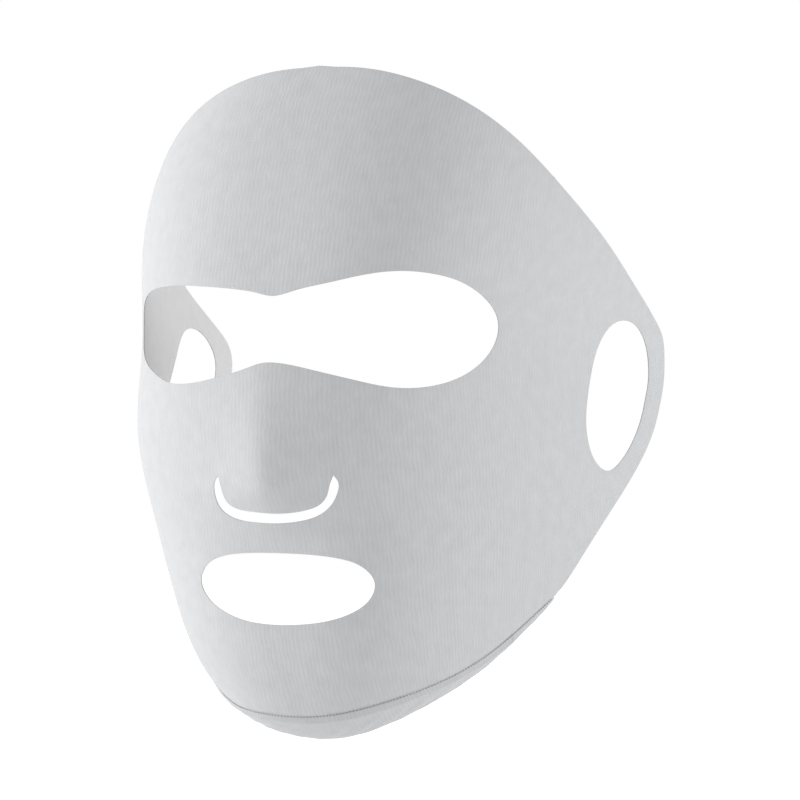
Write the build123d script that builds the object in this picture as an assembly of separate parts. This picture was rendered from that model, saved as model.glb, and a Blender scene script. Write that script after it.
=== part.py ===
from build123d import *
import math
import os

os.makedirs("parts", exist_ok=True)

# Knitted full-face mask. Millimetres. The origin is midway between the centres of the two
# ear openings. +Z is up, the face looks towards -Y, and +X is the wearer's left.

# Cloth: two plies of knit with their bonded faces on the form surface.
OUTER_PLY = 0.6
LINING_PLY = 0.4

# Form surface: at each height, half the width across the sides and the depth of the face
# in front of the ear openings. Each level section is a superellipse about SIDE_CENTRE_Y.
SECTIONS = [
    # height, half width, depth
    (-108, 37.0, 69.0),  # under the chin
    (-88, 55.0, 84.0),   # chin
    (-63, 66.0, 93.5),   # mouth
    (-38, 73.0, 98.0),   # base of the nose
    (-13, 77.0, 104.0),  # cheeks
    (12, 74.7, 105.5),   # eyes
    (37, 78.2, 98.8),    # brow
    (67, 76.4, 86.3),    # forehead
    (97, 64.4, 65.0),    # top edge
]
SIDE_CENTRE_Y = 86.0
SECTION_POWER = 2.83
FORM_BOTTOM = -108.0
FORM_TOP = 104.0
FORM_SPAN_DEG = 62.0

# Nose: its height above the form at each level. Its section is a ridge of that radius whose
# height fades to the sides over the fall distance.
NOSE_RIDGE = [(-50, 0.0), (-42, 3.0), (-35, 7.5), (-28, 10.0), (-15, 7.6), (0, 4.4), (12, 2.0), (24, 0.0)]
NOSE_RIDGE_RADIUS = 6.0
NOSE_FALL = 16.0

# Free edge, side view (Y, Z): from the hairline over the temple to the back of the ear
# loop, then forward under it to the end of the chin seam.
FREE_EDGE = [
    (-65.4, 110), (-65.4, 95), (-60.9, 88.8), (-48.9, 74.8), (-35.9, 61.0), (-17.9, 47.5),
    (5.4, 34.0), (31.0, 21.8), (39.4, 15.0), (39.8, 8.0), (33.3, -2.2), (18.8, -17.6),
    (4.4, -32.7), (-9.1, -47.5), (-20.6, -62.2), (-26.0, -69.0),
]
# Chin seam, front view (X, Z), from the middle out to the free edge. It is drawn as a smooth
# curve in x squared over SEAM_SCALE, which keeps it level at the middle. On the wearer's right
# it sags a little lower.
SEAM_SCALE = 60.0
SEAM_SAG = 2.1
SEAM_SAG_X = -30.0
SEAM_SAG_WIDTH = 14.0
SEAM_REACH = 64
SEAM_SAMPLE = 8
CHIN_SEAM = [
    (0, -99.7), (13.7, -98.2), (26.7, -94.2), (38.0, -88.6), (48.2, -80.4), (57.4, -67.9), (60.6, -62.4),
]

# Chin panel: how far it drops below the seam and runs back under the jaw in the middle.
CHIN_DROP = 6.1
CHIN_REACH = 17.0
CHIN_TUCK = 0.12
CHIN_END_SHARE = 0.12
CHIN_TAPER_POWER = 1.3
CHIN_FOLD_CLEARANCE = 2.0
SEAM_GAP = 0.1
CHIN_CLEARANCE = 0.55

# Openings. Eyes and mouth: front view (X, Z), from the top middle round by the wearer's left.
# Ear: side view (Y, Z). Nose slit: the two edges of a U, front view, from its
# left tip to its right tip; the U narrows towards its tips.
EYES = [
    (0, 25.4), (7.0, 26.9), (16.7, 29.0), (29.2, 31.7), (36.9, 32.5), (44.1, 31.9), (50.2, 29.9),
    (55.0, 25.6), (57.5, 19.4), (57.4, 13.5), (55.3, 6.7), (50.8, 1.2), (44.1, -1.7), (37.5, -2.1),
    (27.0, 0.0), (14.7, 3.1), (6.0, 5.0), (0, 5.2), (-6.0, 3.5), (-13.0, 1.8), (-21.0, 0.3), (-29.0, -0.3),
    (-36.0, 0.6), (-42.5, 3.4), (-48.5, 6.8), (-53.5, 11.2), (-56.6, 16.8), (-56.4, 22.6), (-52.6, 26.9),
    (-45.5, 29.0), (-36.0, 29.5), (-24.0, 28.8), (-12.0, 27.6), (-5.0, 26.4),
]
MOUTH = [
    (0, -50.3), (9.8, -50.8), (18.5, -52.0), (24.4, -54.4), (27.3, -58.8), (25.9, -63.6), (20.5, -68.0),
    (12.0, -70.7), (0, -71.7), (-12.0, -70.6), (-21.0, -67.4), (-26.7, -63.0), (-28.5, -58.6), (-25.8, -54.0),
    (-19.1, -51.1), (-9.0, -50.2),
]
EAR_HOLE = [
    (4.3, 21.6), (12.5, 20.8), (20.5, 17.3), (25.4, 11.5), (25.2, 5.2), (20.6, -1.6), (15.2, -8.0),
    (8.6, -15.0), (1.6, -21.2), (-6.7, -25.1), (-14.5, -23.8), (-21.4, -19.0), (-24.6, -11.5),
    (-23.0, -4.3), (-18.2, 4.8), (-13.0, 12.6), (-5.5, 19.2),
]
SLIT_LOWER = [
    (20.1, -27.5), (20.9, -29.4), (20.2, -32.9), (17.7, -36.6), (13.2, -39.6), (7.5, -41.1), (1.0, -41.7),
    (-6.2, -41.4), (-13.0, -40.2), (-17.4, -37.4), (-18.8, -32.4), (-17.8, -28.9), (-16.4, -27.5),
]
SLIT_UPPER = [
    (19.4, -27.8), (18.6, -29.9), (17.3, -33.3), (15.0, -35.9), (11.5, -37.4), (6.9, -38.3), (0.7, -38.6),
    (-5.9, -38.1), (-11.3, -37.2), (-14.4, -35.4), (-15.6, -32.0), (-15.7, -27.8),
]

# Folds. The ear loops turn about near-vertical lines in front of the ear openings, and the
# tongue over the nose slit turns about the line between the slit's ends.
EAR_FOLD_Y = -29.5
EAR_FOLD_GAP = 3.2
NOSE_FOLD_Z = -27.6
NOSE_FOLD_GAP = 0.8

# Thread of the chin seam: short stitches lying on the outer ply just above the seam.
THREAD_DIAMETER = 0.35
STITCH_LENGTH = 0.7
STITCH_PITCH = 1.05
STITCH_ABOVE_SEAM = 0.8
THREAD_CLEARANCE = 0.08

SURFACE_TOLERANCE = 0.05
BIG = 130.0  # larger than the mask, for tools that cut right through it


def smooth_curve(points):
    """A natural cubic through (position, value) points, as a function of the position."""
    xs = [p[0] for p in points]
    ys = [p[1] for p in points]
    count = len(xs)
    gaps = [xs[i + 1] - xs[i] for i in range(count - 1)]
    bend = [0.0] * count
    lower = [0.0] * count
    for i in range(1, count - 1):
        rise = (ys[i + 1] - ys[i]) / gaps[i] - (ys[i] - ys[i - 1]) / gaps[i - 1]
        pivot = 2 * (gaps[i - 1] + gaps[i]) - gaps[i - 1] * lower[i - 1]
        lower[i] = gaps[i] / pivot
        bend[i] = (6 * rise - gaps[i - 1] * bend[i - 1]) / pivot
    for i in range(count - 2, 0, -1):
        bend[i] -= lower[i] * bend[i + 1]

    def value(x):
        i = max(k for k in range(count - 1) if k == 0 or xs[k] <= x)
        h = gaps[i]
        t = (x - xs[i]) / h
        s = 1 - t
        curve = (s**3 - s) * bend[i] + (t**3 - t) * bend[i + 1]
        return s * ys[i] + t * ys[i + 1] + curve * h * h / 6

    return value


half_width = smooth_curve([(z, w) for z, w, d in SECTIONS])
depth = smooth_curve([(z, d) for z, w, d in SECTIONS])
nose_ridge = smooth_curve(NOSE_RIDGE)
seam_curve = smooth_curve([(x * x / SEAM_SCALE, z) for x, z in CHIN_SEAM])


def seam_height(x):
    sag = SEAM_SAG * math.exp(-(((x - SEAM_SAG_X) / SEAM_SAG_WIDTH) ** 2))
    return seam_curve(x * x / SEAM_SCALE) - sag


def nose_height(x, z):
    if not NOSE_RIDGE[0][0] < z < NOSE_RIDGE[-1][0]:
        return 0.0
    aside = math.hypot(x, NOSE_RIDGE_RADIUS) - NOSE_RIDGE_RADIUS
    return max(nose_ridge(z), 0) * math.exp(-aside / NOSE_FALL)


def form_point(angle_deg, z):
    """Point of the form surface at a height, seen from the section's centre at an angle."""
    across = math.sin(math.radians(angle_deg))
    ahead = math.cos(math.radians(angle_deg))
    length = SIDE_CENTRE_Y + depth(z)
    power = SECTION_POWER
    reach = (abs(across / half_width(z)) ** power + (ahead / length) ** power) ** (-1 / power)
    x = reach * across
    return Vector(x, SIDE_CENTRE_Y - reach * ahead - nose_height(x, z), z)


def form_y(x, z):
    """Depth coordinate of the form surface at a point of the front view."""
    length = SIDE_CENTRE_Y + depth(z)
    inside = max(1 - abs(x / half_width(z)) ** SECTION_POWER, 0)
    return SIDE_CENTRE_Y - length * inside ** (1 / SECTION_POWER) - nose_height(x, z)


def surface_through(grid):
    """Smooth surface through a grid of points, to within the tolerance."""
    return Face.make_surface_from_array_of_points(
        grid, tol=SURFACE_TOLERANCE, smoothing=(1, 1, 1), min_deg=3, max_deg=5
    )


def plies(surface, outward):
    """The outer ply and the lining, one on each side of a surface."""
    facing = surface.normal_at(surface.center()).dot(outward)
    sign = 1 if facing > 0 else -1
    return Solid.thicken(surface, sign * OUTER_PLY), Solid.thicken(surface, -sign * LINING_PLY)


def closed_face(edges, corners):
    """Face inside a run of edges and the straight lines that close it."""
    lines = [Line(a, b) for a, b in zip(corners, corners[1:])]
    return Face(Wire(edges + lines))


def across(face):
    """Prism across the whole width of the mask from a face in the side view."""
    return Solid.extrude(face, Vector(2 * BIG, 0, 0)).moved(Pos(-BIG, 0, 0))


def ahead(face):
    """Prism from the middle of the mask out through its front, from a face in the front view."""
    return Solid.extrude(face, Vector(0, -BIG, 0))


def in_front(outline):
    """Points of an outline in the front view."""
    return [Vector(x, 0, z) for x, z in outline]


# ---- form surface and its plies ----
ROWS = 36
COLUMNS = 41
form_grid = []
for row in range(ROWS):
    level = FORM_BOTTOM + (FORM_TOP - FORM_BOTTOM) * row / (ROWS - 1)
    angles = [FORM_SPAN_DEG * (2 * column / (COLUMNS - 1) - 1) for column in range(COLUMNS)]
    form_grid.append([form_point(angle, level) for angle in angles])
form_plies = plies(surface_through(form_grid), Vector(0, -1, 0))

# ---- outlines cut from the form ----
edge_points = [Vector(0, y, z) for y, z in FREE_EDGE]
last_y, first_z = FREE_EDGE[-1][0], FREE_EDGE[0][1]
edge_corners = [
    edge_points[-1], Vector(0, last_y, -BIG), Vector(0, -BIG, -BIG), Vector(0, -BIG, first_z), edge_points[0],
]
inside_free_edge = across(closed_face([Spline(*edge_points)], edge_corners))

seam_samples = range(-SEAM_REACH, SEAM_REACH + 1, SEAM_SAMPLE)
seam_points = [Vector(x, 0, seam_height(x) + SEAM_GAP) for x in seam_samples]
seam_corners = [seam_points[-1], Vector(SEAM_REACH, 0, BIG), Vector(-SEAM_REACH, 0, BIG), seam_points[0]]
above_seam = ahead(closed_face([Spline(*seam_points)], seam_corners))
for side in (-1, 1):
    beside_seam = Box(BIG, 2 * BIG, 2 * BIG).moved(Pos(side * (SEAM_REACH + BIG / 2), 0, 0))
    above_seam = above_seam.fuse(beside_seam)

eyes = ahead(Face(Wire([Spline(*in_front(EYES), periodic=True)])))
mouth = ahead(Face(Wire([Spline(*in_front(MOUTH), periodic=True)])))
ear_points = [Vector(0, y, z) for y, z in EAR_HOLE]
ears = across(Face(Wire([Spline(*ear_points, periodic=True)])))

slit_lower = in_front(SLIT_LOWER)
slit_upper = in_front(SLIT_UPPER)
slit_tips = [Line(slit_lower[0], slit_upper[0]), Line(slit_lower[-1], slit_upper[-1])]
nose_slit = ahead(Face(Wire([Spline(*slit_lower), Spline(*slit_upper)] + slit_tips)))
inside_slit = ahead(Face(Wire([Spline(*slit_lower), Line(slit_lower[-1], slit_lower[0])])))
fold_left, fold_right = SLIT_LOWER[0][0], SLIT_LOWER[-1][0]
nose_fold = Box(fold_left - fold_right, BIG, NOSE_FOLD_GAP)
nose_fold = nose_fold.moved(Pos((fold_left + fold_right) / 2, -BIG / 2, NOSE_FOLD_Z))

fold_front = Box(2 * BIG, BIG, 2 * BIG).moved(Pos(0, EAR_FOLD_Y - EAR_FOLD_GAP / 2 - BIG / 2, 0))
fold_back = {
    "left": Box(BIG, BIG, 2 * BIG).moved(Pos(BIG / 2, EAR_FOLD_Y + EAR_FOLD_GAP / 2 + BIG / 2, 0)),
    "right": Box(BIG, BIG, 2 * BIG).moved(Pos(-BIG / 2, EAR_FOLD_Y + EAR_FOLD_GAP / 2 + BIG / 2, 0)),
}

# ---- face, nose flap and ear loops, each an outer ply and a lining ----
nodes = {}
for ply, ending in zip(form_plies, ("", "_lining")):
    cloth = ply & inside_free_edge & above_seam
    front = cloth & fold_front
    nodes["face_panel" + ending] = front - eyes - mouth - nose_slit - inside_slit - nose_fold
    nodes["nose_flap" + ending] = (front & inside_slit) - nose_slit - nose_fold
    for side, region in fold_back.items():
        nodes["ear_loop_" + side + ending] = (cloth & region) - ears

# ---- chin panel, below the seam ----
def chin_point(x, share):
    """Point of the chin panel: from the seam at share 0 to its free edge at share 1."""
    z = seam_height(x) - CHIN_CLEARANCE
    taper = max(1 - (x / CHIN_SEAM[-1][0]) ** 2, CHIN_END_SHARE) ** CHIN_TAPER_POWER
    drop = CHIN_DROP * taper * math.sin(share * math.pi / 2)
    back = CHIN_REACH * math.sqrt(taper) * share
    tuck = CHIN_TUCK * math.sqrt(taper) * share * x
    return Vector(x - tuck, form_y(x, z) + back, z - drop)


def stop_at_fold():
    """Half the chin panel's width, where the seam reaches the ear loop's fold."""
    x = 0.0
    while form_y(x, seam_height(x)) + CHIN_FOLD_CLEARANCE < EAR_FOLD_Y - EAR_FOLD_GAP / 2:
        x += 0.25
    return x


CHIN_COLUMNS = 33
CHIN_ROWS = 7
chin_half = stop_at_fold()
chin_grid = []
for row in range(CHIN_ROWS):
    widths = [chin_half * (2 * column / (CHIN_COLUMNS - 1) - 1) for column in range(CHIN_COLUMNS)]
    chin_grid.append([chin_point(x, row / (CHIN_ROWS - 1)) for x in widths])
nodes["chin_panel"], nodes["chin_panel_lining"] = plies(surface_through(chin_grid), Vector(0, -0.5, -1))

# ---- seam thread ----
def seam_place(x):
    """A stitch's place on the outer ply, and its direction along the seam."""
    step = 0.5
    lift = STITCH_ABOVE_SEAM

    def on_form(u, v):
        return Vector(u, form_y(u, v), v)

    z = seam_height(x) + lift
    ahead_z = seam_height(x + step) + lift
    here = on_form(x, z)
    along = (on_form(x + step, ahead_z) - here).normalized()
    up = (on_form(x, z + step) - here).normalized()
    normal = along.cross(up).normalized()
    if normal.Y > 0:
        normal = -normal
    return here + normal * (OUTER_PLY + THREAD_DIAMETER / 2 + THREAD_CLEARANCE), along


stitches = []
for side in (-1, 1):
    x = side * STITCH_PITCH / 2
    while abs(x) < chin_half - STITCH_LENGTH:
        centre, along = seam_place(x)
        start = Plane(origin=centre - along * (STITCH_LENGTH / 2), z_dir=along)
        stitches.append(Solid.make_cylinder(THREAD_DIAMETER / 2, STITCH_LENGTH, start))
        x += side * STITCH_PITCH * abs(along.X)
nodes["chin_seam_thread"] = Compound(children=stitches)

for name, shape in nodes.items():
    solids = shape.solids()
    shape = solids[0] if len(solids) == 1 else Compound(children=solids)
    export_step(shape, "parts/" + name + ".step")
    print(name, len(solids), round(shape.volume, 1), shape.is_valid)
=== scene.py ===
import math

import bmesh
import bpy
import numpy as np
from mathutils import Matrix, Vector, geometry, kdtree


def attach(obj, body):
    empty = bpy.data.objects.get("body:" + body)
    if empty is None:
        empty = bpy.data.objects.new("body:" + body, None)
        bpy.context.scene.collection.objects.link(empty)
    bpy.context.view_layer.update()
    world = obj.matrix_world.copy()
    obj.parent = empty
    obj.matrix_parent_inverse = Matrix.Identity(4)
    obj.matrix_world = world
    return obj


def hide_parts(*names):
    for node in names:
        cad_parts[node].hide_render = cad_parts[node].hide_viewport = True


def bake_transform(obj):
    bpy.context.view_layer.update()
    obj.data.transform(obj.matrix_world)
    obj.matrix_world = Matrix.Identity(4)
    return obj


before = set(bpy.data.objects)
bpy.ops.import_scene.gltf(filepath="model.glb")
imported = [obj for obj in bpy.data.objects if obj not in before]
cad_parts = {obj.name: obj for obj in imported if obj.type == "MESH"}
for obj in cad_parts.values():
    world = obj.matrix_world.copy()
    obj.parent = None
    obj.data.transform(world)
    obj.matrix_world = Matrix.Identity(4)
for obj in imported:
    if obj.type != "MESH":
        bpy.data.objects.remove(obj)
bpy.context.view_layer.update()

MM = 0.001

# ---- the mask's form, in millimetres, as in the CAD part -----------------------------------

SECTIONS = [
    # height, half width, depth in front of the ear openings
    (-108, 37.0, 69.0), (-88, 55.0, 84.0), (-63, 66.0, 93.5), (-38, 73.0, 98.0), (-13, 77.0, 104.0),
    (12, 74.7, 105.5), (37, 78.2, 98.8), (67, 76.4, 86.3), (97, 64.4, 65.0),
]
SIDE_CENTRE_Y = 86.0
SECTION_POWER = 2.83
NOSE_RIDGE = [(-50, 0.0), (-42, 3.0), (-35, 7.5), (-28, 10.0), (-15, 7.6), (0, 4.4), (12, 2.0), (24, 0.0)]
NOSE_RIDGE_RADIUS = 6.0
NOSE_FALL = 16.0
FREE_EDGE = [
    (-65.4, 110), (-65.4, 95), (-60.9, 88.8), (-48.9, 74.8), (-35.9, 61.0), (-17.9, 47.5),
    (5.4, 34.0), (31.0, 21.8), (39.4, 15.0), (39.8, 8.0), (33.3, -2.2), (18.8, -17.6),
    (4.4, -32.7), (-9.1, -47.5), (-20.6, -62.2), (-26.0, -69.0),
]
CHIN_SEAM = [
    (0, -99.7), (13.7, -98.2), (26.7, -94.2), (38.0, -88.6), (48.2, -80.4), (57.4, -67.9), (60.6, -62.4),
]
SEAM_END_X = CHIN_SEAM[-1][0]
SEAM_SCALE = 60.0
SEAM_SAG = 2.1
SEAM_SAG_X = -30.0
SEAM_SAG_WIDTH = 14.0
EYES = [
    (0, 25.4), (7.0, 26.9), (16.7, 29.0), (29.2, 31.7), (36.9, 32.5), (44.1, 31.9), (50.2, 29.9),
    (55.0, 25.6), (57.5, 19.4), (57.4, 13.5), (55.3, 6.7), (50.8, 1.2), (44.1, -1.7), (37.5, -2.1),
    (27.0, 0.0), (14.7, 3.1), (6.0, 5.0), (0, 5.2), (-6.0, 3.5), (-13.0, 1.8), (-21.0, 0.3), (-29.0, -0.3),
    (-36.0, 0.6), (-42.5, 3.4), (-48.5, 6.8), (-53.5, 11.2), (-56.6, 16.8), (-56.4, 22.6), (-52.6, 26.9),
    (-45.5, 29.0), (-36.0, 29.5), (-24.0, 28.8), (-12.0, 27.6), (-5.0, 26.4),
]
MOUTH = [
    (0, -50.3), (9.8, -50.8), (18.5, -52.0), (24.4, -54.4), (27.3, -58.8), (25.9, -63.6), (20.5, -68.0),
    (12.0, -70.7), (0, -71.7), (-12.0, -70.6), (-21.0, -67.4), (-26.7, -63.0), (-28.5, -58.6), (-25.8, -54.0),
    (-19.1, -51.1), (-9.0, -50.2),
]
SLIT_LOWER = [
    (20.1, -27.5), (20.9, -29.4), (20.2, -32.9), (17.7, -36.6), (13.2, -39.6), (7.5, -41.1), (1.0, -41.7),
    (-6.2, -41.4), (-13.0, -40.2), (-17.4, -37.4), (-18.8, -32.4), (-17.8, -28.9), (-16.4, -27.5),
]
SLIT_UPPER = [
    (19.4, -27.8), (18.6, -29.9), (17.3, -33.3), (15.0, -35.9), (11.5, -37.4), (6.9, -38.3), (0.7, -38.6),
    (-5.9, -38.1), (-11.3, -37.2), (-14.4, -35.4), (-15.6, -32.0), (-15.7, -27.8),
]
EAR_HOLE = [
    # side view (Y, Z)
    (4.3, 21.6), (12.5, 20.8), (20.5, 17.3), (25.4, 11.5), (25.2, 5.2), (20.6, -1.6), (15.2, -8.0),
    (8.6, -15.0), (1.6, -21.2), (-6.7, -25.1), (-14.5, -23.8), (-21.4, -19.0), (-24.6, -11.5),
    (-23.0, -4.3), (-18.2, 4.8), (-13.0, 12.6), (-5.5, 19.2),
]
CHIN_DROP = 6.1
CHIN_REACH = 17.0
CHIN_END_X = 59.6
CHIN_TAPER_POWER = 1.3
CHIN_TUCK = 0.12
CHIN_END_SHARE = 0.003
CHIN_Z = -50.0
CROWN_Z = (104.0, 85.0)

# Cloth: the inner and outer faces of the knit and of its lining, off the form surface.
OUTER_PLY = (0.0, 0.56)
LINING_PLY = (-0.38, -0.03)
CLOTH_STEP = 1.4
EDGE_STEP = 0.8
CUT_EDGE_WIDTH = 1.8
CUT_EDGE_SHARE = 0.35
ROUND_EDGE_TURNS = (50, 0, -50)

# Inside its outlines the mesh is a triangular grid, whose points keep clear of the outlines.
ROW_STEP = CLOTH_STEP * 0.866
EDGE_CLEARANCE = 0.55 * CLOTH_STEP

# How many points a line is worked out at before it is spaced evenly.
CURVE_POINTS = 2400
EDGE_POINTS = 900
RUN_POINTS = 400
TIP_POINTS = 200
STITCH_LINE_POINTS = 3000

# Shallow waves in the cloth of the face.
FACE_WAVE = 0.16
FACE_WAVE_LENGTH = 46
FACE_WAVE_SEED = 3

# Chin seam: how deep it pulls the cloth in, how wide that dip is, and the roll of cloth below it.
SEAM_DIP = 0.75
SEAM_DIP_WIDTH = 1.0
CHIN_DIP_WIDTH = 0.6
SEAM_ROLL = 0.4
SEAM_ROLL_AT = 1.25
SEAM_ROLL_WIDTH = 0.7
CHIN_TOP_GAP = 0.15
CHIN_WRINKLE = 0.12
CHIN_WRINKLE_LENGTH = 8.5
CHIN_WRINKLE_SLANT = 1.4
CHIN_WAVE_LENGTH = 9
CHIN_WAVE_SEED = 11
CHIN_FADE = 4
STITCH_PITCH = 1.05
STITCH_LENGTH = 0.7
STITCH_WIDTH = 0.35
STITCH_ABOVE_SEAM = 0.5
STITCH_LIFT = 0.3 * STITCH_WIDTH
STITCH_LOOK_AHEAD = 0.4

# Where the front, the ear loops and the nose flap join.
EAR_JOIN_Y = -38.0
SLIT_TIPS = (-16.1, 19.8)
NOSE_JOIN_Z = -27.5


def natural_cubic(xs, ys):
    """Natural cubic through points, as a function of arrays. ys may have several columns."""
    xs = np.asarray(xs, float)
    ys = np.asarray(ys, float).reshape(len(xs), -1)
    h = np.diff(xs)
    count = len(xs)
    system, right = np.eye(count), np.zeros_like(ys)
    for i in range(1, count - 1):
        system[i, i - 1:i + 2] = h[i - 1], 2 * (h[i - 1] + h[i]), h[i]
        right[i] = 6 * ((ys[i + 1] - ys[i]) / h[i] - (ys[i] - ys[i - 1]) / h[i - 1])
    bend = np.linalg.solve(system, right)

    def value(x):
        x = np.asarray(x, float)
        i = np.clip(np.searchsorted(xs, x, side="right") - 1, 0, count - 2)
        t = ((x - xs[i]) / h[i])[..., None]
        s = 1 - t
        curve = (s**3 - s) * bend[i] + (t**3 - t) * bend[i + 1]
        out = s * ys[i] + t * ys[i + 1] + curve * (h[i] ** 2)[..., None] / 6
        return out[..., 0] if out.shape[-1] == 1 else out

    return value


def lengths(points):
    """Length along a run of points, from its start."""
    return np.concatenate([[0], np.cumsum(np.linalg.norm(np.diff(points, axis=0), axis=1))])


def smooth_curve(points, closed=False):
    """A dense run of points along the smooth curve through the given ones."""
    p = np.asarray(points, float)
    wrap = 3 if closed else 0
    if closed:
        p = np.vstack([p[-wrap:], p, p[:wrap + 1]])
    along = lengths(p)
    last = len(p) - 1 - wrap
    return natural_cubic(along, p)(np.linspace(along[wrap], along[last], CURVE_POINTS))


def spaced(points, along):
    """Points about EDGE_STEP apart, from a dense run and the length along it."""
    at = np.linspace(0, along[-1], max(int(round(along[-1] / EDGE_STEP)), 3) + 1)
    return np.stack([np.interp(at, along, column) for column in points.T], 1)


def evenly(points):
    """The same run of points in space, spaced evenly."""
    return spaced(points, lengths(points))


# ---- the form surface -----------------------------------------------------------------------

half_width = natural_cubic([s[0] for s in SECTIONS], [s[1] for s in SECTIONS])
depth = natural_cubic([s[0] for s in SECTIONS], [s[2] for s in SECTIONS])
nose_ridge = natural_cubic([n[0] for n in NOSE_RIDGE], [n[1] for n in NOSE_RIDGE])
seam_by_square = natural_cubic([x * x / SEAM_SCALE for x, z in CHIN_SEAM], [z for x, z in CHIN_SEAM])


def seam_height(x):
    x = np.asarray(x, float)
    sag = SEAM_SAG * np.exp(-((x - SEAM_SAG_X) / SEAM_SAG_WIDTH) ** 2)
    return seam_by_square(x**2 / SEAM_SCALE) - sag


def nose_height(x, z):
    ridge = np.where((z > NOSE_RIDGE[0][0]) & (z < NOSE_RIDGE[-1][0]), np.maximum(nose_ridge(z), 0), 0)
    aside = np.hypot(x, NOSE_RIDGE_RADIUS) - NOSE_RIDGE_RADIUS
    return ridge * np.exp(-aside / NOSE_FALL)


def section_point(angle, z):
    """Points of the form without its nose, from the angle round a level section, and the height."""
    across, ahead = np.sin(angle), np.cos(angle)
    reach = (np.abs(across / half_width(z)) ** SECTION_POWER
             + (ahead / (SIDE_CENTRE_Y + depth(z))) ** SECTION_POWER) ** (-1 / SECTION_POWER)
    return np.stack([reach * across, SIDE_CENTRE_Y - reach * ahead, z], -1)


def form_point(angle, z):
    p = section_point(angle, z)
    p[..., 1] -= nose_height(p[..., 0], z)
    return p


def on_front(x, z):
    """Points of the form from the front view."""
    x, z = np.broadcast_arrays(np.asarray(x, float), np.asarray(z, float))
    inside = np.maximum(1 - np.abs(x / half_width(z)) ** SECTION_POWER, 0)
    y = SIDE_CENTRE_Y - (SIDE_CENTRE_Y + depth(z)) * inside ** (1 / SECTION_POWER) - nose_height(x, z)
    return np.stack([x, y, z], -1)


def on_side(y, z):
    """Points of the form's left half from the side view. Only for places beside the nose."""
    inside = 1 - np.abs((SIDE_CENTRE_Y - y) / (SIDE_CENTRE_Y + depth(z))) ** SECTION_POWER
    return np.stack([half_width(z) * np.maximum(inside, 0) ** (1 / SECTION_POWER), y, z], -1)


def form_place(points):
    """(angle, height) of points on the form."""
    x, y, z = points.T
    return np.stack([np.arctan2(x, SIDE_CENTRE_Y - y - nose_height(x, z)), z], 1)


def soft_waves(a, b, size, seed):
    """Smooth irregular waves of about one unit, from a few crossed sines."""
    rng = np.random.default_rng(seed)
    total = np.zeros_like(a)
    for _ in range(5):
        turn, phase = rng.uniform(0, math.tau, 2)
        length = size * rng.uniform(0.7, 1.6)
        total += np.sin((a * math.cos(turn) + b * math.sin(turn)) * math.tau / length + phase)
    return total / 3


class Surface:
    """The middle surface of a sheet of cloth: points from two parameters, and its flat pattern."""

    nudge = (0.002, 0.2)
    outward = 1

    def normals(self, point, uv):
        u, v = np.array([self.nudge[0], 0]), np.array([0, self.nudge[1]])
        n = np.cross(point(uv + u) - point(uv - u), point(uv + v) - point(uv - v))
        return self.outward * n / np.linalg.norm(n, axis=1)[:, None]

    def cloth(self, uv):
        p = self.bare(uv)
        return p + self.normals(self.bare, uv) * self.lift(uv, p)[:, None]


class FaceSurface(Surface):
    """The face panel, from (angle, height). Its flat pattern is (arc length, height)."""

    angles = np.radians(np.linspace(-66, 66, 529))
    levels = np.linspace(-112, 104, 217)

    def __init__(self):
        rows = [section_point(self.angles, np.full_like(self.angles, z)) for z in self.levels]
        self.arcs = np.array([lengths(row) for row in rows])
        self.arcs -= self.arcs[:, [len(self.angles) // 2]]

    def bare(self, uv):
        return form_point(uv[:, 0], uv[:, 1])

    def lift(self, uv, p):
        flat = self.flatten(uv)
        above = np.maximum(p[:, 2] - seam_height(np.clip(p[:, 0], -SEAM_END_X, SEAM_END_X)), 0)
        dip = np.where(p[:, 2] < CHIN_Z, SEAM_DIP * np.exp(-above / SEAM_DIP_WIDTH), 0)
        return FACE_WAVE * soft_waves(flat[:, 0], flat[:, 1], FACE_WAVE_LENGTH, FACE_WAVE_SEED) - dip

    @staticmethod
    def cell(values, steps):
        """The step each value lies in, and how far into it."""
        place = np.clip((values - steps[0]) / (steps[1] - steps[0]), 0, len(steps) - 1.001)
        return place.astype(int), place - place.astype(int)

    def flatten(self, uv):
        i, u = self.cell(uv[:, 1], self.levels)
        j, v = self.cell(uv[:, 0], self.angles)
        low = self.arcs[i, j] * (1 - v) + self.arcs[i, j + 1] * v
        high = self.arcs[i + 1, j] * (1 - v) + self.arcs[i + 1, j + 1] * v
        return np.stack([low * (1 - u) + high * u, uv[:, 1]], 1)

    def unflatten(self, flat):
        i, u = self.cell(flat[:, 1], self.levels)
        angle = [
            np.interp(s, self.arcs[a] * (1 - b) + self.arcs[a + 1] * b, self.angles)
            for s, a, b in zip(flat[:, 0], i, u)
        ]
        return np.stack([angle, flat[:, 1]], 1)


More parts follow.
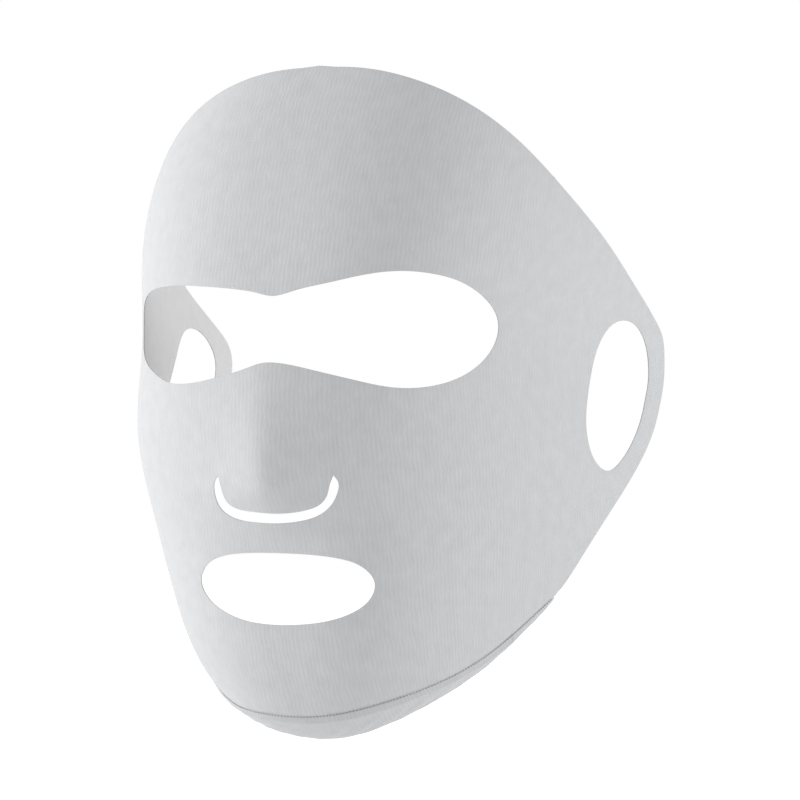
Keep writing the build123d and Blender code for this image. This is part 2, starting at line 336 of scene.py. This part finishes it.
class ChinSurface(Surface):
    """The chin panel, from (x, share of the way from the seam to the free edge)."""

    nudge = (0.1, 0.01)
    outward = -1
    across = np.linspace(-64, 64, 513)

    def __init__(self):
        self.arcs = lengths(on_front(self.across, seam_height(self.across)))
        self.arcs -= self.arcs[len(self.arcs) // 2]

    @staticmethod
    def taper(x):
        return np.maximum(1 - (x / CHIN_END_X) ** 2, CHIN_END_SHARE) ** CHIN_TAPER_POWER

    def band(self, x):
        return CHIN_REACH * self.taper(x) ** 0.5

    def bare(self, uv):
        x, share = uv.T
        p = on_front(x, seam_height(x) - CHIN_TOP_GAP)
        drop = CHIN_DROP * self.taper(x) * np.sin(share * math.pi / 2)
        tuck = CHIN_TUCK * self.taper(x) ** 0.5 * share * x
        return p + np.stack([-tuck, self.band(x) * share, -drop], 1)

    def lift(self, uv, p):
        a, b = self.flatten(uv).T
        share = np.clip(uv[:, 1], 0, 1)
        size = np.minimum(self.taper(uv[:, 0]) * CHIN_FADE, 1)
        dip = SEAM_DIP * np.exp(-np.maximum(b, 0) / CHIN_DIP_WIDTH)
        roll = SEAM_ROLL * size * np.exp(-((b - SEAM_ROLL_AT) / SEAM_ROLL_WIDTH) ** 2)
        slanting = np.sin((a + CHIN_WRINKLE_SLANT * b) * math.tau / CHIN_WRINKLE_LENGTH)
        wrinkles = soft_waves(a, b, CHIN_WAVE_LENGTH, CHIN_WAVE_SEED) + slanting
        return roll - dip + CHIN_WRINKLE * size * np.sin(share * math.pi) * wrinkles

    def flatten(self, uv):
        return np.stack([np.interp(uv[:, 0], self.across, self.arcs), uv[:, 1] * self.band(uv[:, 0])], 1)

    def unflatten(self, flat):
        x = np.interp(flat[:, 0], self.arcs, self.across)
        return np.stack([x, flat[:, 1] / self.band(x)], 1)


# ---- meshes of cloth ------------------------------------------------------------------------

def inside_loops(points, loops):
    """Which points lie inside an odd number of the loops."""
    inside = np.zeros(len(points), bool)
    x, y = points.T
    for loop in loops:
        for a, b in zip(loop, np.roll(loop, -1, axis=0)):
            if a[1] != b[1]:
                crosses = (a[1] > y) != (b[1] > y)
                inside ^= crosses & (x < a[0] + (y - a[1]) / (b[1] - a[1]) * (b[0] - a[0]))
    return inside


def fill(loops):
    """Flat points and triangles of the area inside the first loop and outside the others."""
    edge = np.vstack(loops)
    edges, tree = [], kdtree.KDTree(len(edge))
    for loop in loops:
        first = len(edges)
        edges += [(first + i, first + (i + 1) % len(loop)) for i in range(len(loop))]
    for i, p in enumerate(edge):
        tree.insert((p[0], p[1], 0), i)
    tree.balance()
    low, high = edge.min(0), edge.max(0)
    x, y = np.meshgrid(np.arange(low[0], high[0], CLOTH_STEP), np.arange(low[1], high[1], ROW_STEP))
    x = x + (np.arange(len(x)) % 2)[:, None] * CLOTH_STEP / 2
    grid = np.stack([x.ravel(), y.ravel()], 1)
    grid = grid[inside_loops(grid, loops)]
    grid = grid[[tree.find((p[0], p[1], 0))[2] > EDGE_CLEARANCE for p in grid]]
    flat = np.vstack([edge, grid])
    verts, _, faces, origin, _, _ = geometry.delaunay_2d_cdt([Vector(p) for p in flat], edges, [], 0, 1e-6)
    if len(verts) != len(flat):
        raise ValueError("an outline crosses itself or repeats a point")
    order = np.array([o[0] for o in origin])
    triangles = order[np.array([tuple(f) for f in faces])]
    return flat, triangles[inside_loops(flat[triangles].mean(1), loops)]


class Patch:
    """An area of a surface inside outlines. free says which points of each outline are a cut edge of
    the cloth, and not a line where it goes on in the next piece."""

    def __init__(self, surface, outlines, free):
        self.free = free
        loops = [surface.flatten(o) for o in outlines]
        flat, self.triangles = fill(loops)
        count = sum(len(loop) for loop in loops)
        uv = np.vstack(outlines + [surface.unflatten(flat[count:])])
        self.points = surface.cloth(uv)
        self.normals = surface.normals(surface.cloth, uv)
        self.flat = flat
        a, b, c = (self.points[self.triangles[:, k]] for k in range(3))
        normal = np.cross(b - a, c - a)
        self.area = np.linalg.norm(normal, axis=1).sum() / 2
        wrong = np.einsum("ij,ij->i", normal, self.normals[self.triangles[:, 0]]) < 0
        self.triangles[wrong] = self.triangles[wrong][:, ::-1]
        self.fullness = self.away_from_cuts(flat, loops)
        self.directed = {(t[k], t[(k + 1) % 3]) for t in self.triangles.tolist() for k in range(3)}

    def away_from_cuts(self, flat, loops):
        """Share of the cloth's full thickness at each point. Cut edges are pressed thin."""
        cuts = np.vstack(loops)[np.concatenate(self.free)]
        tree = kdtree.KDTree(len(cuts))
        for i, p in enumerate(cuts):
            tree.insert((p[0], p[1], 0), i)
        tree.balance()
        distance = np.array([tree.find((p[0], p[1], 0))[2] for p in flat])
        t = np.clip(distance / CUT_EDGE_WIDTH, 0, 1)
        return CUT_EDGE_SHARE + (1 - CUT_EDGE_SHARE) * t * t * (3 - 2 * t)


class Sheet:
    """Mesh data of one ply, made from patches: two faces, and an edge that is round where it is cut."""

    def __init__(self, patches, ply):
        self.points, self.normals, self.knit, self.faces, self.count = [], [], [], [], 0
        for patch in patches:
            self.add(patch, *ply)

    def put(self, points, normals, flat):
        first = self.count
        self.points.append(points)
        self.normals.append(normals)
        self.knit.append(np.column_stack([flat, np.zeros(len(flat))]))
        self.count += len(points)
        return first

    def add(self, patch, low, high):
        p, n = patch.points, patch.normals
        low, high = low * patch.fullness[:, None], high * patch.fullness[:, None]
        outer = self.put(p + n * high, n, patch.flat)
        inner = self.put(p + n * low, -n, patch.flat)
        self.faces += (patch.triangles + outer).tolist() + (patch.triangles[:, ::-1] + inner).tolist()
        start = 0
        for free in patch.free:
            index = start + np.arange(len(free))
            start += len(free)
            forward = (int(index[0]), int(index[1])) in patch.directed
            along = np.roll(p[index], -1, axis=0) - np.roll(p[index], 1, axis=0)
            away = np.cross(along, n[index]) * (1 if forward else -1)
            away /= np.linalg.norm(away, axis=1)[:, None]
            middle, half = (high + low)[index] / 2, (high - low)[index] / 2
            round_by = half * free[:, None]
            rings = [outer + index]
            for turn in np.radians(ROUND_EDGE_TURNS):
                out = away * math.cos(turn)
                rise = n[index] * math.sin(turn)
                ring = p[index] + n[index] * middle + rise * half + out * round_by
                rings.append(self.put(ring, out + rise, patch.flat[index]) + np.arange(len(index)))
            rings.append(inner + index)
            for upper, lower in zip(rings, rings[1:]):
                quads = np.stack([np.roll(upper, -1), upper, lower, np.roll(lower, -1)], 1)
                self.faces += (quads if forward else quads[:, ::-1]).tolist()

    def build(self, name, material):
        mesh = bpy.data.meshes.new(name)
        mesh.from_pydata((np.vstack(self.points) * MM).tolist(), [], self.faces)
        mesh.polygons.foreach_set("use_smooth", [True] * len(mesh.polygons))
        knit = mesh.attributes.new("knit", "FLOAT_VECTOR", "POINT")
        knit.data.foreach_set("vector", np.vstack(self.knit).astype(np.float32).ravel())
        mesh.normals_split_custom_set_from_vertices(np.vstack(self.normals).tolist())
        return link(name, mesh, material)


def link(name, mesh, material):
    mesh.materials.append(material)
    piece = bpy.data.objects.new(name, mesh)
    bpy.context.scene.collection.objects.link(piece)
    return piece


def joined(runs):
    """A closed outline from (points, whether they are a cut edge) runs that follow on from each other.
    Returns its points, and whether each is on a cut edge."""
    points = np.vstack([run[:-1] for run, cut in runs])
    return points, np.concatenate([np.full(len(run) - 1, cut) for run, cut in runs])


def outline(*runs):
    """A closed outline on the form, from runs of points in space."""
    points, free = joined(runs)
    return form_place(points), free


# ---- outlines -------------------------------------------------------------------------------

def split_at(points, y):
    """A run in two parts where it first passes that Y."""
    k = int(np.argmax(points[:, 1] > y))
    share = (y - points[k - 1, 1]) / (points[k, 1] - points[k - 1, 1])
    middle = points[k - 1] + share * (points[k] - points[k - 1])
    return np.vstack([points[:k], middle]), np.vstack([middle, points[k:]])


side_curve = smooth_curve(FREE_EDGE)
free_edge = on_side(side_curve[:, 0], side_curve[:, 1])
free_edge = free_edge[free_edge[:, 0] > 0]
crown = np.linspace(*CROWN_Z, 80)
top_z = np.interp(-FREE_EDGE[0][0], depth(crown), crown)
free_edge = np.vstack([[0, FREE_EDGE[0][0], top_z], free_edge])
below_seam = free_edge[:, 2] < seam_height(np.minimum(free_edge[:, 0], SEAM_END_X))
free_edge = free_edge[:int(np.argmax(below_seam & (free_edge[:, 2] < CHIN_Z)))]
temple_edge, loop_edge = (evenly(run) for run in split_at(free_edge, EAR_JOIN_Y))
corner_x = free_edge[-1, 0]


def side_runs(side):
    """One side's edge of the temple and of the loop, its seam before and past the join, and the join."""
    temple, loop = temple_edge * [side, 1, 1], loop_edge * [side, 1, 1]
    x = side * np.linspace(0, corner_x, EDGE_POINTS)
    seam = on_front(x, seam_height(x))
    seam[-1] = loop[-1]
    front, tip = (evenly(run) for run in split_at(seam, EAR_JOIN_Y))
    z = np.linspace(temple[-1, 2], front[-1, 2], EDGE_POINTS)
    join = on_side(np.full_like(z, EAR_JOIN_Y), z) * [side, 1, 1]
    join[[0, -1]] = temple[-1], front[-1]
    return temple, loop, front, tip, evenly(join)


left_temple, left_loop, left_seam, left_tip, left_join = side_runs(1)
right_temple, right_loop, right_seam, right_tip, right_join = side_runs(-1)
front_outline = outline(
    (left_temple, True), (left_join, False), (left_seam[::-1], True),
    (right_seam, True), (right_join[::-1], False), (right_temple[::-1], True),
)
loop_outlines = {
    "left": outline((left_loop, True), (left_tip[::-1], True), (left_join[::-1], False)),
    "right": outline((right_loop, True), (right_tip[::-1], True), (right_join[::-1], False)),
}
eyes, mouth = (outline((evenly(on_front(*smooth_curve(p, closed=True).T)), True)) for p in (EYES, MOUTH))
ear_hole = evenly(on_side(*smooth_curve(EAR_HOLE, closed=True).T))

chord = evenly(on_front(np.linspace(*SLIT_TIPS, RUN_POINTS), NOSE_JOIN_Z))
tips = [(x, NOSE_JOIN_Z) for x in SLIT_TIPS]
slit_lower = evenly(on_front(*smooth_curve(tips[1:] + SLIT_LOWER[1:-1] + tips[:1]).T))
slit_upper = evenly(on_front(*smooth_curve(tips[1:] + SLIT_UPPER[1:-1] + tips[:1]).T))
below_slit = outline((chord, False), (slit_lower, True))
flap_outline = outline((chord, False), (slit_upper, True))

face_surface = FaceSurface()
chin_surface = ChinSurface()


def patch(surface, *outlines):
    return Patch(surface, [o[0] for o in outlines], [o[1] for o in outlines])


def chin_run(x, share):
    """Evenly spaced (x, share) points along a run on the chin panel."""
    x, share = np.broadcast_arrays(np.asarray(x, float), np.asarray(share, float))
    uv = np.stack([x, share], 1)
    return spaced(uv, lengths(chin_surface.flatten(uv)))


def chin_join_x(share):
    """Where the chin panel passes the ear loop's join, for a share of the way to its free edge."""
    x = np.linspace(0, CHIN_END_X, RUN_POINTS)
    reached = chin_surface.bare(np.stack([x, np.full_like(x, share)], 1))[:, 1]
    return float(np.interp(EAR_JOIN_Y, reached, x))


shares = np.linspace(0, 1, 41)
join_x = np.array([chin_join_x(share) for share in shares])
chin_join = chin_run(join_x, shares)
chin_front = joined([
    (chin_run(np.linspace(-join_x[0], join_x[0], RUN_POINTS), 0), True),
    (chin_join, False),
    (chin_run(np.linspace(join_x[-1], -join_x[-1], RUN_POINTS), 1), True),
    (chin_join[::-1] * [-1, 1], False),
])
chin_tip = [
    (chin_run(np.linspace(join_x[0], CHIN_END_X, TIP_POINTS), 0), True),
    (chin_run(CHIN_END_X, shares), True),
    (chin_run(np.linspace(CHIN_END_X, join_x[-1], TIP_POINTS), 1), True),
    (chin_join[::-1], False),
]


# ---- materials ------------------------------------------------------------------------------

class Nodes:
    """A new material and short ways to add nodes to it."""

    def __init__(self, name):
        self.material = bpy.data.materials.new(name)
        self.material.use_nodes = True
        self.tree = self.material.node_tree
        self.shader = self.tree.nodes["Principled BSDF"]

    def add(self, kind, **settings):
        node = self.tree.nodes.new(kind)
        for key, value in settings.items():
            if key in node.inputs:
                node.inputs[key].default_value = value
            else:
                setattr(node, key, value)
        return node

    def wire(self, source, target):
        self.tree.links.new(source, target)

    def math(self, operation, *values):
        node = self.add("ShaderNodeMath", operation=operation)
        for socket, value in zip(node.inputs, values):
            if isinstance(value, (int, float)):
                socket.default_value = value
            else:
                self.wire(value, socket)
        return node.outputs[0]

    def noise(self, vector, scale, detail=2.0):
        node = self.add("ShaderNodeTexNoise", Scale=scale, Detail=detail)
        self.wire(vector, node.inputs["Vector"])
        return node.outputs["Fac"]

    def colour(self, factor, stops):
        ramp = self.add("ShaderNodeValToRGB")
        elements = ramp.color_ramp.elements
        while len(elements) < len(stops):
            elements.new(0.5)
        for element, (place, grey) in zip(elements, stops):
            element.position = place
            element.color = (*grey, 1)
        self.wire(factor, ramp.inputs["Fac"])
        return ramp.outputs["Color"]


# The knit's texture, over its flat pattern in millimetres. A larger scale is a finer texture.
DRIFT_SCALE, DRIFT = 0.25, 2.0
LOOP_SHARE = 0.45
FUZZ_SCALE, FUZZ_SHARE = 2.6, 0.3
MOTTLE_SCALE, MOTTLE_SHARE = 0.22, 0.45
STREAK_SCALE, STREAK_SHARE = (1.4, 0.16, 1.0), 0.3
# Painted shade: how much darker the valleys between the knit's ribs are coloured than the rib tops.
RIB_VALLEY_SHADE_SHARE = 0.15
ROUGHNESS, FUZZ_ROUGHNESS = 0.78, 0.15


def knit_material(name, light, shade, wale_pitch, course_pitch, relief):
    """Fine jersey: upright ribs of loops, with soft heathered colour and painted shade in the valleys between
    the ribs.
    """
    m = Nodes(name)
    knit = m.add("ShaderNodeAttribute", attribute_name="knit").outputs["Vector"]
    parts = m.add("ShaderNodeSeparateXYZ")
    m.wire(knit, parts.inputs[0])
    across_knit, up_knit = parts.outputs["X"], parts.outputs["Y"]
    drift = m.math("MULTIPLY", m.math("SUBTRACT", m.noise(knit, DRIFT_SCALE), 0.5), DRIFT)
    across_knit = m.math("ADD", across_knit, drift)
    rib = m.math("SINE", m.math("MULTIPLY", across_knit, math.tau / wale_pitch))
    ridge = m.math("MULTIPLY_ADD", rib, 0.5, 0.5)
    slant = m.math("ABSOLUTE", m.math("SINE", m.math("MULTIPLY", across_knit, math.pi / wale_pitch)))
    slanted = m.math("ADD", up_knit, m.math("MULTIPLY", slant, course_pitch * 0.5))
    course = m.math("MULTIPLY", slanted, math.tau / course_pitch)
    loop = m.math("MULTIPLY_ADD", m.math("SINE", course), 0.5, 0.5)
    loops = m.math("MULTIPLY", ridge, m.math("MULTIPLY_ADD", loop, LOOP_SHARE, 1 - LOOP_SHARE))
    fuzz = m.noise(knit, FUZZ_SCALE, 4.0)
    height = m.math("ADD", loops, m.math("MULTIPLY", fuzz, FUZZ_SHARE))
    bump = m.add("ShaderNodeBump", Strength=0.8, Distance=relief)
    m.wire(height, bump.inputs["Height"])
    m.wire(bump.outputs["Normal"], m.shader.inputs["Normal"])

    mottle = m.noise(knit, MOTTLE_SCALE, 3.0)
    stretched = m.add("ShaderNodeVectorMath", operation="MULTIPLY")
    stretched.inputs[1].default_value = STREAK_SCALE
    m.wire(knit, stretched.inputs[0])
    streak = m.noise(stretched.outputs[0], 1.0, 2.0)
    tone = m.math("ADD", m.math("MULTIPLY", mottle, MOTTLE_SHARE), m.math("MULTIPLY", streak, STREAK_SHARE))
    # Painted shade: the rib shape darkens the colour in the valleys between ribs and lightens it on the rib
    # tops.
    tone = m.math("ADD", tone, m.math("MULTIPLY", ridge, RIB_VALLEY_SHADE_SHARE))
    m.wire(m.colour(tone, [(0.25, shade), (0.75, light)]), m.shader.inputs["Base Color"])
    m.wire(m.math("MULTIPLY_ADD", fuzz, FUZZ_ROUGHNESS, ROUGHNESS), m.shader.inputs["Roughness"])
    m.shader.inputs["Specular IOR Level"].default_value = 0.2
    m.shader.inputs["Sheen Weight"].default_value = 0.06
    m.shader.inputs["Sheen Roughness"].default_value = 0.5
    return m.material


THREAD_LIGHT, THREAD_SHADE = (0.22, 0.22, 0.225), (0.14, 0.14, 0.145)


def thread_material(name):
    """Twisted sewing thread."""
    m = Nodes(name)
    place = m.add("ShaderNodeTexCoord").outputs["Object"]
    twist = m.add("ShaderNodeTexWave", Scale=1400.0, Distortion=1.5)
    twist.bands_direction = "DIAGONAL"
    m.wire(place, twist.inputs["Vector"])
    bump = m.add("ShaderNodeBump", Strength=0.6, Distance=0.00004)
    m.wire(twist.outputs["Fac"], bump.inputs["Height"])
    m.wire(bump.outputs["Normal"], m.shader.inputs["Normal"])
    tone = m.colour(m.noise(place, 900.0, 2.0), [(0.3, THREAD_SHADE), (0.7, THREAD_LIGHT)])
    m.wire(tone, m.shader.inputs["Base Color"])
    m.shader.inputs["Roughness"].default_value = 0.6
    m.shader.inputs["Sheen Weight"].default_value = 0.1
    return m.material


outer_knit = knit_material("outer_knit", (0.352, 0.356, 0.365), (0.303, 0.306, 0.312), 1.3, 0.95, 0.00004)
lining_knit = knit_material("lining_knit", (0.43, 0.43, 0.434), (0.38, 0.38, 0.384), 1.05, 0.8, 0.00005)
seam_thread = thread_material("seam_thread")


# ---- pieces ---------------------------------------------------------------------------------

def cloth_pieces(name, patches, place):
    """The knit and the lining of one part of the mask. place puts a piece on its body or bodies."""
    for layer, ply, material, ending, finish in (
        ("_knit", OUTER_PLY, outer_knit, "", "knit_outer"),
        ("_backing", LINING_PLY, lining_knit, "_lining", "knit_lining"),
    ):
        piece = Sheet(patches, ply).build(name + layer, material)
        place(piece)
        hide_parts(name + ending)


def on_face(piece):
    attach(piece, "face")


def over_nose_fold(piece):
    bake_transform(piece)


def over_ear_fold():
    def place(piece):
        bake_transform(piece)
    return place


cloth_pieces("face_panel", [patch(face_surface, front_outline, eyes, mouth, below_slit)], on_face)
cloth_pieces("chin_panel", [patch(chin_surface, chin_front)], on_face)
cloth_pieces("nose_flap", [patch(face_surface, flap_outline)], over_nose_fold)
for side, mirror in (("left", 1), ("right", -1)):
    hole = outline((ear_hole * [mirror, 1, 1], True))
    tip = joined([(run * [mirror, 1], cut) for run, cut in chin_tip])
    loop_patches = [patch(face_surface, loop_outlines[side], hole), patch(chin_surface, tip)]
    cloth_pieces("ear_loop_" + side, loop_patches, over_ear_fold())


# ---- seam stitches --------------------------------------------------------------------------

def stitch_mesh(name, centres, directions, ups):
    """Short round-ended stitches of thread at the given places."""
    unit = bmesh.new()
    bmesh.ops.create_uvsphere(unit, u_segments=10, v_segments=6, radius=1)
    shape = np.array([v.co[:] for v in unit.verts])
    faces = [[v.index for v in f.verts] for f in unit.faces]
    unit.free()
    straight = STITCH_LENGTH - STITCH_WIDTH
    shape = shape * STITCH_WIDTH / 2 + np.sign(np.round(shape, 6)) * [0, 0, straight / 2]
    points, all_faces = [], []
    for centre, ahead, up in zip(centres, directions, ups):
        points.append(centre + shape @ np.array([np.cross(ahead, up), up, ahead]))
        all_faces += [[i + len(shape) * (len(points) - 1) for i in f] for f in faces]
    mesh = bpy.data.meshes.new(name)
    mesh.from_pydata((np.vstack(points) * MM).tolist(), [], all_faces)
    mesh.polygons.foreach_set("use_smooth", [True] * len(mesh.polygons))
    return link(name, mesh, seam_thread)


def along_seam(at):
    """Points of the line of stitches, at lengths along it."""
    return np.stack([np.interp(at, seam_length, column) for column in stitch_path.T], 1)


stitch_x = np.linspace(-corner_x, corner_x, STITCH_LINE_POINTS)
stitch_line = form_place(on_front(stitch_x, seam_height(stitch_x) + STITCH_ABOVE_SEAM))
stitch_normals = face_surface.normals(face_surface.bare, stitch_line)
stitch_path = face_surface.cloth(stitch_line) + stitch_normals * (OUTER_PLY[1] + STITCH_LIFT)
seam_length = lengths(stitch_path)
first_stitch = seam_length[-1] / 2 % STITCH_PITCH + STITCH_PITCH / 2
at = np.arange(first_stitch, seam_length[-1] - STITCH_PITCH, STITCH_PITCH)
centres = along_seam(at)
ways = along_seam(at + STITCH_LOOK_AHEAD) - centres
ways /= np.linalg.norm(ways, axis=1)[:, None]
ups = np.cross(ways, [0.0, 0.0, 1.0])
ups /= np.linalg.norm(ups, axis=1)[:, None]
ends = centres[:, 1] > EAR_JOIN_Y
for name, chosen, place in (
    ("seam_stitches", ~ends, on_face),
    ("seam_stitches_left", ends & (centres[:, 0] > 0), over_ear_fold()),
    ("seam_stitches_right", ends & (centres[:, 0] < 0), over_ear_fold()),
):
    stitches = stitch_mesh(name, centres[chosen], ways[chosen], ups[chosen])
    place(stitches)
    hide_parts("chin_seam_thread")


# ---- floor, light and camera ----------------------------------------------------------------

# In metres.
FLOOR_Z = -0.147
FLOOR_SIZE = 40.0
SOFTBOX_SIZE = 0.7

paper = Nodes("floor_paper")
paper_place = paper.add("ShaderNodeTexCoord").outputs["Object"]
paper.wire(
    paper.colour(paper.noise(paper_place, 3.0), [(0.3, (0.92, 0.92, 0.92)), (0.7, (0.95, 0.95, 0.95))]),
    paper.shader.inputs["Base Color"])
paper.shader.inputs["Roughness"].default_value = 0.9
paper.shader.inputs["Emission Color"].default_value = (1, 1, 1, 1)
paper.shader.inputs["Emission Strength"].default_value = 0.2
floor_mesh = bpy.data.meshes.new("floor")
half = FLOOR_SIZE / 2
corners = [(-half, -half, FLOOR_Z), (half, -half, FLOOR_Z), (half, half, FLOOR_Z), (-half, half, FLOOR_Z)]
floor_mesh.from_pydata(corners, [], [(0, 1, 2, 3)])
link("floor", floor_mesh, paper.material)

world = bpy.data.worlds.new("studio")
world.use_nodes = True
world.node_tree.nodes["Background"].inputs["Color"].default_value = (1, 1, 1, 1)
world.node_tree.nodes["Background"].inputs["Strength"].default_value = 1.0
bpy.context.scene.world = world
bpy.context.scene.view_settings.view_transform = "Standard"

AZIMUTH = math.radians(21.38)
TILT = math.radians(1.795)
CAMERA_PLACE = (0.5593, -1.4276, -0.0504)
LENS = 220.08
LIGHT_TARGET = Vector((0, -0.03, 0))
to_right = Vector((math.cos(AZIMUTH), math.sin(AZIMUTH), 0))
to_camera = Vector((math.sin(AZIMUTH), -math.cos(AZIMUTH), 0))
up = Vector((0, 0, 1))


def softbox(name, place, energy):
    light = bpy.data.lights.new(name, "AREA")
    light.shape = "DISK"
    light.size = SOFTBOX_SIZE
    light.energy = energy
    lamp = bpy.data.objects.new(name, light)
    lamp.location = place
    lamp.rotation_euler = (LIGHT_TARGET - place).to_track_quat("-Z", "Y").to_euler()
    bpy.context.scene.collection.objects.link(lamp)


softbox("softbox_left", to_right * -1.3 + to_camera * 0.15 + up * 0.4, 20)
softbox("softbox_right", to_right * 1.3 + to_camera * 0.25 + up * 0.45, 12)

camera = bpy.data.objects.new("camera", bpy.data.cameras.new("camera"))
camera.data.lens = LENS
camera.data.sensor_width = 36.0
camera.data.clip_end = 100.0
camera.location = CAMERA_PLACE
camera.rotation_euler = (math.pi / 2 + TILT, 0, AZIMUTH)
bpy.context.scene.collection.objects.link(camera)
bpy.context.scene.camera = camera
